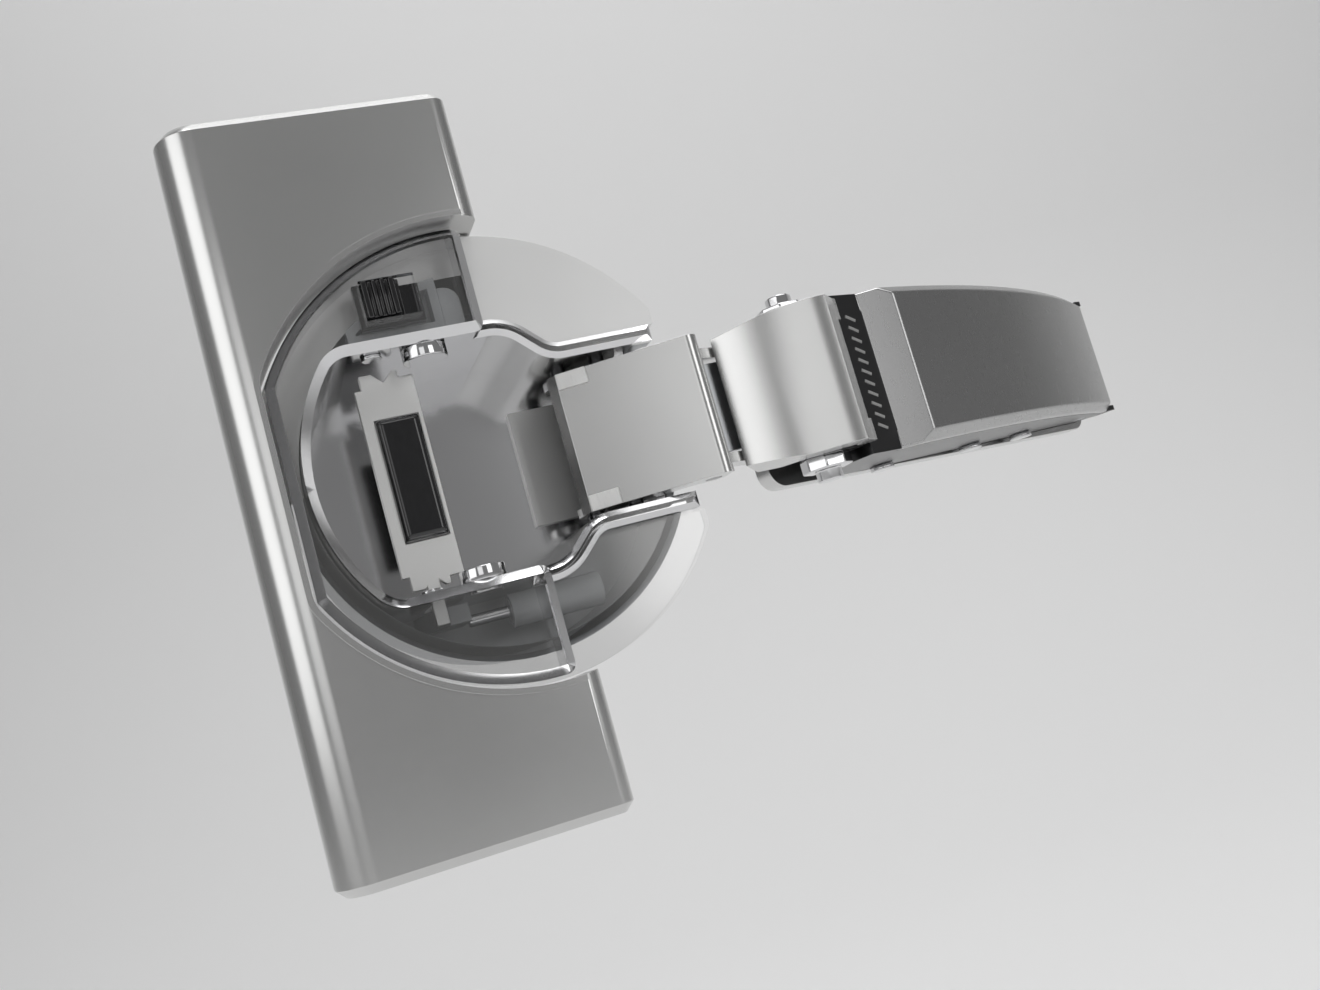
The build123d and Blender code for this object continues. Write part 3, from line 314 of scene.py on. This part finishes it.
def moulded(name, colour, rough, coat=0.0, alpha=1.0):
    """Moulded plastic: slight cloud in the colour and a fine flow texture."""
    material, tree, shader = new_material(name)
    cloud = noise(tree, CLOUD_SCALE, (1, 1, 1), 2)
    flow = noise(tree, FLOW_SCALE, (1, 1, 0.4), 3)
    tone = ramp(tree, cloud, *(shade(colour, factor) for factor in MOULD_TONE))
    tree.links.new(tone.outputs["Color"], shader.inputs["Base Color"])
    satin = spread(tree, flow, *(rough * factor for factor in MOULD_SATIN))
    tree.links.new(satin.outputs["Result"], shader.inputs["Roughness"])
    relief = tree.nodes.new("ShaderNodeBump")
    relief.inputs["Strength"].default_value = 0.03
    relief.inputs["Distance"].default_value = MOULD_RELIEF
    tree.links.new(flow.outputs["Fac"], relief.inputs["Height"])
    tree.links.new(relief.outputs["Normal"], shader.inputs["Normal"])
    shader.inputs["Coat Weight"].default_value = coat
    shader.inputs["Alpha"].default_value = alpha
    return material


MATERIALS = {}


def finish(name):
    """Material of one of the hinge's finishes, made once."""
    if name in MATERIALS:
        return MATERIALS[name]
    look = bpy.context.scene.hinge_finish
    makers = {
        "satin_nickel": lambda: plated(name, look.satin_nickel, 0.24, ALONG_Z),
        "cap_nickel": lambda: plated(name, look.cap_nickel, 0.27, ALONG_Z),
        "ghost_nickel": lambda: plated(name, look.satin_nickel, 0.14, alpha=look.flange_alpha),
        "tub_nickel": lambda: plated(name, look.satin_nickel, 0.20),
        "rim_chrome": lambda: plated(name, look.bright_chrome, 0.13),
        "frosted_nickel": lambda: plated(name, look.frosted_nickel, 0.46),
        "smoked_nickel": lambda: plated(name, look.smoked_nickel, 0.28, ALONG_Z),
        "bright_chrome": lambda: plated(name, look.bright_chrome, 0.10),
        "grey_zinc": lambda: plated(name, look.grey_zinc, 0.34, bump=0.02),
        "oiled_steel": lambda: plated(name, look.oiled_steel, 0.22, bump=0.01),
        "pale_steel": lambda: plated(name, look.pale_steel, 0.36, bump=0.015),
        "white_moulding": lambda: moulded(name, look.white_moulding, 0.30),
        "black_moulding": lambda: moulded(name, look.black_moulding, 0.16, 0.6),
        "grey_moulding": lambda: moulded(name, look.grey_moulding, 0.42),
        "clear_moulding": lambda: moulded(name, look.clear_moulding, 0.08, 0.4, 0.62),
    }
    MATERIALS[name] = makers[name]()
    return MATERIALS[name]


def link_object(name, mesh):
    """New object at the origin in the scene's collection."""
    obj = bpy.data.objects.new(name, mesh)
    bpy.context.scene.collection.objects.link(obj)
    return obj


def settle(obj):
    """Turns an object's evaluated shape into its own plain mesh."""
    graph = bpy.context.evaluated_depsgraph_get()
    mesh = bpy.data.meshes.new_from_object(obj.evaluated_get(graph), depsgraph=graph)
    obj.modifiers.clear()
    obj.data = mesh
    return obj


def close_up(mesh):
    """Merges the points and drops the empty faces that a full-width bevel leaves."""
    work = bmesh.new()
    work.from_mesh(mesh)
    bmesh.ops.remove_doubles(work, verts=work.verts, dist=MERGE)
    bmesh.ops.dissolve_degenerate(work, dist=MERGE, edges=work.edges)
    work.to_mesh(mesh)
    work.free()


def rounded_copy(node, look, width, halved):
    """Copy of a CAD node with merged faces, rounded edges and smooth shading.

    Its faces are cut at Z 0 if halved.
    """
    mesh = frame["nodes"][node].data.copy()
    mesh.materials.clear()
    work = bmesh.new()
    work.from_mesh(mesh)
    bmesh.ops.remove_doubles(work, verts=work.verts, dist=2 * MERGE)
    bmesh.ops.dissolve_limit(work, angle_limit=radians(0.5), verts=work.verts, edges=work.edges,
                             use_dissolve_boundaries=False)
    if halved:
        bmesh.ops.bisect_plane(work, geom=[*work.verts, *work.edges, *work.faces], dist=MERGE,
                               plane_co=(0, 0, 0), plane_no=(0, 0, 1))
    work.to_mesh(mesh)
    work.free()
    mesh.name = node + "_rounded"
    obj = link_object(node + "_rounded", mesh)
    if width > 0:
        bevel = obj.modifiers.new("Rolled edge", "BEVEL")
        bevel.width = width
        bevel.segments = 3
        bevel.limit_method = "ANGLE"
        bevel.angle_limit = radians(38)
        bevel.use_clamp_overlap = True
        bpy.context.view_layer.update()
        settle(obj)
        close_up(obj.data)
    obj.data.shade_smooth()
    obj.data.set_sharp_from_angle(angle=look.smooth_angle)
    level = obj.modifiers.new("Flat faces stay flat", "WEIGHTED_NORMAL")
    level.mode = "FACE_AREA"
    level.weight = 60
    level.keep_sharp = True
    bpy.context.view_layer.update()
    return settle(obj)


def dress(node, material, width=None, others=(), pick=None):
    """Rounded piece in place of a CAD node, riding on its body.

    Further finishes are picked face by face.
    """
    look = bpy.context.scene.hinge_finish
    obj = rounded_copy(node, look, look.edge_width if width is None else width, pick is not None)
    obj.data.materials.clear()
    for name in (material, *others):
        obj.data.materials.append(finish(name))
    if pick:
        for face in obj.data.polygons:
            face.material_index = pick(face.center, face.normal)
    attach(obj, BODY_OF[node])
    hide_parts(node)
    return obj


def flange_finish(centre, normal):
    """Chrome rims, see-through platform sheets and satin tub walls of the flange's insert."""
    rise = (centre - SEAT_AT).dot(CUP_OUT)
    lie = abs(normal.dot(CUP_OUT))
    if rise > FLANGE_T + SHEET_RISE and lie > SHEET_LIE:
        return 1
    return 2 if rise < FLANGE_T and lie < WALL_LIE else 0


def pot_finish(centre, normal):
    """Zinc pot under the flange's disc, which is frosted above Z 0 and see-through below it."""
    rise = (centre - SEAT_AT).dot(CUP_OUT)
    under_disc = rise < FLANGE_T / 4 and abs(normal.dot(CUP_OUT)) < DISC_LIE
    if under_disc or rise < -POT_DROP:
        return 0
    return 1 if centre.z > 0 else 2


class HINGE_OT_cup(bpy.types.Operator):
    """Cover plate, flange, pot and the fixed pieces in the cup"""

    bl_idname = "hinge.cup"
    bl_label = "Cup and cover plate"

    def execute(self, context):
        dress("cover_plate", "satin_nickel", SHEET_EDGE)
        dress("cup_flange", "rim_chrome", FLANGE_EDGE, ("ghost_nickel", "tub_nickel"),
              flange_finish)
        dress("cup_pot", "grey_zinc", None, ("frosted_nickel", "ghost_nickel"), pot_finish)
        for node in ("outer_cup_pins", "inner_cup_pin"):
            dress(node, "oiled_steel", PIN_EDGE)
        dress("closing_spring", "frosted_nickel")
        for node in ("guide_bushes", "tub_rivets"):
            dress(node, "bright_chrome")
        return {"FINISHED"}


class HINGE_OT_soft_close(bpy.types.Operator):
    """Switch, damper and actuator of the soft-close unit"""

    bl_idname = "hinge.soft_close"
    bl_label = "Soft-close unit"

    def execute(self, context):
        dress("switch_housing", "clear_moulding")
        dress("switch_slider", "black_moulding", SLIDER_EDGE)
        dress("damper_cylinder", "clear_moulding")
        dress("damper_cap", "grey_moulding")
        dress("damper_rod", "bright_chrome")
        dress("damper_carriage", "grey_moulding")
        dress("actuator_plate", "pale_steel")
        dress("actuator_pad", "black_moulding", ACTUATOR_PAD_EDGE)
        return {"FINISHED"}


def cup_slab(name, body, outline, low, high):
    """Flat piece in the cup's frame, between two heights.

    Its outline runs along the cup and up, and all its lengths are in millimetres.
    """
    work = bmesh.new()
    base = []
    for along, up in outline:
        offset = CUP_ALONG * along + CUP_OUT * low + Vector((0, 0, up))
        base.append(work.verts.new(CUP_ORIGIN + offset / MM))
    face = work.faces.new(base)
    grown = bmesh.ops.extrude_face_region(work, geom=[face])["geom"]
    bmesh.ops.translate(work, vec=CUP_OUT * (high - low) / MM,
                        verts=[v for v in grown if isinstance(v, bmesh.types.BMVert)])
    bmesh.ops.recalc_face_normals(work, faces=work.faces)
    sides = [e for e in work.edges if e.calc_face_angle(0) > radians(60)]
    bmesh.ops.bevel(work, geom=sides, offset=SLAB_EDGE, segments=2, affect="EDGES",
                    clamp_overlap=True)
    mesh = bpy.data.meshes.new(name)
    work.to_mesh(mesh)
    work.free()
    mesh.shade_smooth()
    mesh.set_sharp_from_angle(angle=bpy.context.scene.hinge_finish.smooth_angle)
    obj = link_object(name, mesh)
    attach(obj, body)
    return obj


class HINGE_OT_switch_trim(bpy.types.Operator):
    """Black sheet of painted shade on the switch's slider, which fills the window, and the
    housing's rounded end
    """

    bl_idname = "hinge.switch_trim"
    bl_label = "Switch trim"

    def execute(self, context):
        # A black sheet of painted shade, riding on the slider, fills the window where only shadow
        # shows.
        shade_sheet = cup_slab("switch_tail", "switch", SHADE_SHEET_OUTLINE, *SHADE_SHEET_HEIGHTS)
        shade_sheet.data.materials.append(finish("black_moulding"))
        corner = [(END_CORNER[0] + END_CORNER_R * cos(a), END_CORNER[1] + END_CORNER_R * sin(a))
                  for a in map(radians, range(0, 91, 15))]
        outline = [(END_LEFT, END_LOW), (END_RIGHT, END_LOW), *corner, (END_LEFT, END_HIGH)]
        end = cup_slab("switch_housing_end", "cup", outline, *END_HEIGHTS)
        end.data.materials.append(finish("clear_moulding"))
        return {"FINISHED"}


class HINGE_OT_links(bpy.types.Operator):
    """Outer link with its pads, and inner link"""

    bl_idname = "hinge.links"
    bl_label = "Links"

    def execute(self, context):
        dress("outer_link", "satin_nickel", LINK_EDGE)
        dress("link_pads", "white_moulding", LINK_PAD_EDGE)
        dress("inner_link", "grey_zinc")
        return {"FINISHED"}


class HINGE_OT_arm(bpy.types.Operator):
    """Nose, arm, cap and pins of the arm"""

    bl_idname = "hinge.arm"
    bl_label = "Arm and nose"

    def execute(self, context):
        dress("arm_nose", "satin_nickel", LINK_EDGE)
        # The arm's channel is painted near black as shade.
        dress("arm", "smoked_nickel", SHEET_EDGE)
        dress("arm_cap", "cap_nickel", CAP_EDGE)
        for node in ("nose_pin", "arm_pins"):
            dress(node, "bright_chrome", HEAD_EDGE)
        for node in ("outer_nose_pin", "inner_nose_pin"):
            dress(node, "oiled_steel", PIN_EDGE)
        return {"FINISHED"}


class HINGE_OT_plate(bpy.types.Operator):
    """Mounting plate, clip bracket, adjusters and release lever"""

    bl_idname = "hinge.plate"
    bl_label = "Plate and adjusters"

    def execute(self, context):
        dress("mounting_plate", "satin_nickel")
        for node in ("clip_bracket", "depth_cam", "side_screw", "release_lever"):
            dress(node, "grey_zinc")
        return {"FINISHED"}


def tick_tree(material):
    """Geometry Nodes tree: a row of slanted bars along Z."""
    tree = bpy.data.node_groups.new("Tick row", "GeometryNodeTree")
    sockets = {}
    for name, kind, default in (("Count", "NodeSocketInt", 11),
                                ("Pitch", "NodeSocketFloat", 0.001),
                                ("Size", "NodeSocketVector", (0.001, 0.0001, 0.0003)),
                                ("Slant", "NodeSocketFloat", 0.4),
                                ("Place", "NodeSocketVector", (0, 0, 0))):
        socket = tree.interface.new_socket(name, in_out="INPUT", socket_type=kind)
        socket.default_value = default
        sockets[name] = socket.identifier
    tree.interface.new_socket("Geometry", in_out="OUTPUT", socket_type="NodeSocketGeometry")
    nodes, links = tree.nodes, tree.links
    given = nodes.new("NodeGroupInput")
    row = nodes.new("GeometryNodeMeshLine")
    step = nodes.new("ShaderNodeCombineXYZ")
    bar = nodes.new("GeometryNodeMeshCube")
    turn = nodes.new("ShaderNodeCombineXYZ")
    put = nodes.new("GeometryNodeInstanceOnPoints")
    real = nodes.new("GeometryNodeRealizeInstances")
    coat = nodes.new("GeometryNodeSetMaterial")
    coat.inputs["Material"].default_value = material
    result = nodes.new("NodeGroupOutput")
    links.new(given.outputs["Count"], row.inputs["Count"])
    links.new(given.outputs["Pitch"], step.inputs["Z"])
    links.new(step.outputs["Vector"], row.inputs["Offset"])
    links.new(given.outputs["Place"], row.inputs["Start Location"])
    links.new(given.outputs["Size"], bar.inputs["Size"])
    links.new(given.outputs["Slant"], turn.inputs["Y"])
    links.new(row.outputs["Mesh"], put.inputs["Points"])
    links.new(bar.outputs["Mesh"], put.inputs["Instance"])
    links.new(turn.outputs["Vector"], put.inputs["Rotation"])
    links.new(put.outputs["Instances"], real.inputs["Geometry"])
    links.new(real.outputs["Geometry"], coat.inputs["Geometry"])
    links.new(coat.outputs["Geometry"], result.inputs["Geometry"])
    return tree, sockets


class HINGE_OT_ticks(bpy.types.Operator):
    """Plain tick marks on the arm's step"""

    bl_idname = "hinge.ticks"
    bl_label = "Tick marks"

    def execute(self, context):
        ticks = context.scene.hinge_ticks
        # The tick marks take pale steel as a painted highlight, for the light their embossed edges
        # catch.
        tree, sockets = tick_tree(finish("pale_steel"))
        obj = link_object("arm_tick_marks", bpy.data.meshes.new("arm_tick_marks"))
        modifier = obj.modifiers.new("Tick row", "NODES")
        modifier.node_group = tree
        # Middle of the flat step between the nose pin and the cap's front.
        place = (CAP_BOX[0].x - TICK_LEAD, -SHELF_H, -ticks.pitch * (ticks.count - 1) / 2)
        modifier[sockets["Count"]] = ticks.count
        modifier[sockets["Pitch"]] = ticks.pitch
        modifier[sockets["Size"]] = (ticks.length, 2 * ticks.rise, ticks.width)
        modifier[sockets["Slant"]] = ticks.slant
        modifier[sockets["Place"]] = place
        context.view_layer.update()
        settle(obj)
        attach(obj, "arm")
        return {"FINISHED"}


def backdrop(stage):
    """Floor that sweeps up into a wall behind the hinge, square to the camera."""
    across = Vector((FLOOR_AHEAD.y, -FLOOR_AHEAD.x, 0.0))
    low = -stage.floor_drop
    profile = [(FLOOR_NEAR, low), (WALL_AT - BEND_R, low)]
    profile += [(WALL_AT - BEND_R + BEND_R * sin(a), low + BEND_R - BEND_R * cos(a))
                for a in (pi / 2 * i / BEND_STEPS for i in range(1, BEND_STEPS + 1))]
    profile.append((WALL_AT, low + WALL_H))
    work = bmesh.new()
    rows = []
    for d, z in profile:
        base = FLOOR_CENTRE + FLOOR_AHEAD * d
        rows.append([work.verts.new(base + across * s + Vector((0, 0, z)))
                     for s in (-FLOOR_HALF_W, FLOOR_HALF_W)])
    for one, two in zip(rows, rows[1:]):
        work.faces.new((one[0], one[1], two[1], two[0]))
    mesh = bpy.data.meshes.new("backdrop")
    work.to_mesh(mesh)
    work.free()
    mesh.shade_smooth()
    obj = link_object("backdrop", mesh)
    material, tree, shader = new_material("backdrop_paper")
    fibre = noise(tree, PAPER_SCALE, (1, 1, 1), 1)
    tone = ramp(tree, fibre, *(shade(stage.paper, factor) for factor in PAPER_TONE))
    tree.links.new(tone.outputs["Color"], shader.inputs["Base Color"])
    shader.inputs["Roughness"].default_value = 0.9
    mesh.materials.append(material)


def lamp(name, place, target, size, power):
    """Square soft lamp that faces a point."""
    light = bpy.data.lights.new(name, "AREA")
    light.energy = power
    light.size = size
    obj = bpy.data.objects.new(name, light)
    bpy.context.scene.collection.objects.link(obj)
    obj.location = place
    obj.rotation_euler = (Vector(target) - Vector(place)).to_track_quat("-Z", "Y").to_euler()


class HINGE_OT_stage(bpy.types.Operator):
    """Floor, soft lamps and camera"""

    bl_idname = "hinge.stage"
    bl_label = "Stage"

    def execute(self, context):
        stage = context.scene.hinge_stage
        backdrop(stage)
        for name, place, target, size in LAMPS:
            lamp(name, place, target, size, getattr(stage, name + "_power"))
        world = bpy.data.worlds.new("room")
        world.use_nodes = True
        world.node_tree.nodes["Background"].inputs["Color"].default_value = (1, 1, 1, 1)
        world.node_tree.nodes["Background"].inputs["Strength"].default_value = stage.room_light
        context.scene.world = world
        context.scene.view_settings.view_transform = "Standard"
        eye = bpy.data.cameras.new("camera")
        eye.sensor_fit = "HORIZONTAL"
        eye.sensor_width = 36.0
        eye.lens = stage.lens
        eye.clip_start = 0.002
        eye.clip_end = 10.0
        camera = bpy.data.objects.new("camera", eye)
        context.scene.collection.objects.link(camera)
        turn = Matrix((CAMERA_RIGHT, CAMERA_UP, -CAMERA_AHEAD)).transposed().to_4x4()
        camera.matrix_world = Matrix.Translation(CAMERA_AT) @ turn
        context.scene.camera = camera
        return {"FINISHED"}


class HINGE_PT_panel(bpy.types.Panel):
    """Lists the hinge's operators and sizes"""

    bl_label = "Soft-close hinge"
    bl_idname = "HINGE_PT_panel"
    bl_space_type = "VIEW_3D"
    bl_region_type = "UI"
    bl_category = "Hinge"

    def draw(self, context):
        for kind in OPERATORS:
            self.layout.operator(kind.bl_idname)
        for name in ("hinge_finish", "hinge_ticks", "hinge_stage"):
            group = getattr(context.scene, name)
            for key in group.__annotations__:
                self.layout.prop(group, key)


GROUPS = (("hinge_finish", HingeFinish), ("hinge_ticks", HingeTicks), ("hinge_stage", HingeStage))
OPERATORS = (HINGE_OT_cup, HINGE_OT_soft_close, HINGE_OT_switch_trim, HINGE_OT_links, HINGE_OT_arm,
             HINGE_OT_plate, HINGE_OT_ticks, HINGE_OT_stage)


def register():
    for name, kind in GROUPS:
        bpy.utils.register_class(kind)
        setattr(bpy.types.Scene, name, bpy.props.PointerProperty(type=kind))
    for kind in OPERATORS:
        bpy.utils.register_class(kind)
    bpy.utils.register_class(HINGE_PT_panel)


def unregister():
    bpy.utils.unregister_class(HINGE_PT_panel)
    for kind in reversed(OPERATORS):
        bpy.utils.unregister_class(kind)
    for name, kind in reversed(GROUPS):
        delattr(bpy.types.Scene, name)
        bpy.utils.unregister_class(kind)


def main():
    register()
    bpy.ops.hinge.cup()
    bpy.ops.hinge.soft_close()
    bpy.ops.hinge.switch_trim()
    bpy.ops.hinge.links()
    bpy.ops.hinge.arm()
    bpy.ops.hinge.plate()
    bpy.ops.hinge.ticks()
    bpy.ops.hinge.stage()


if __name__ == "__main__":
    main()
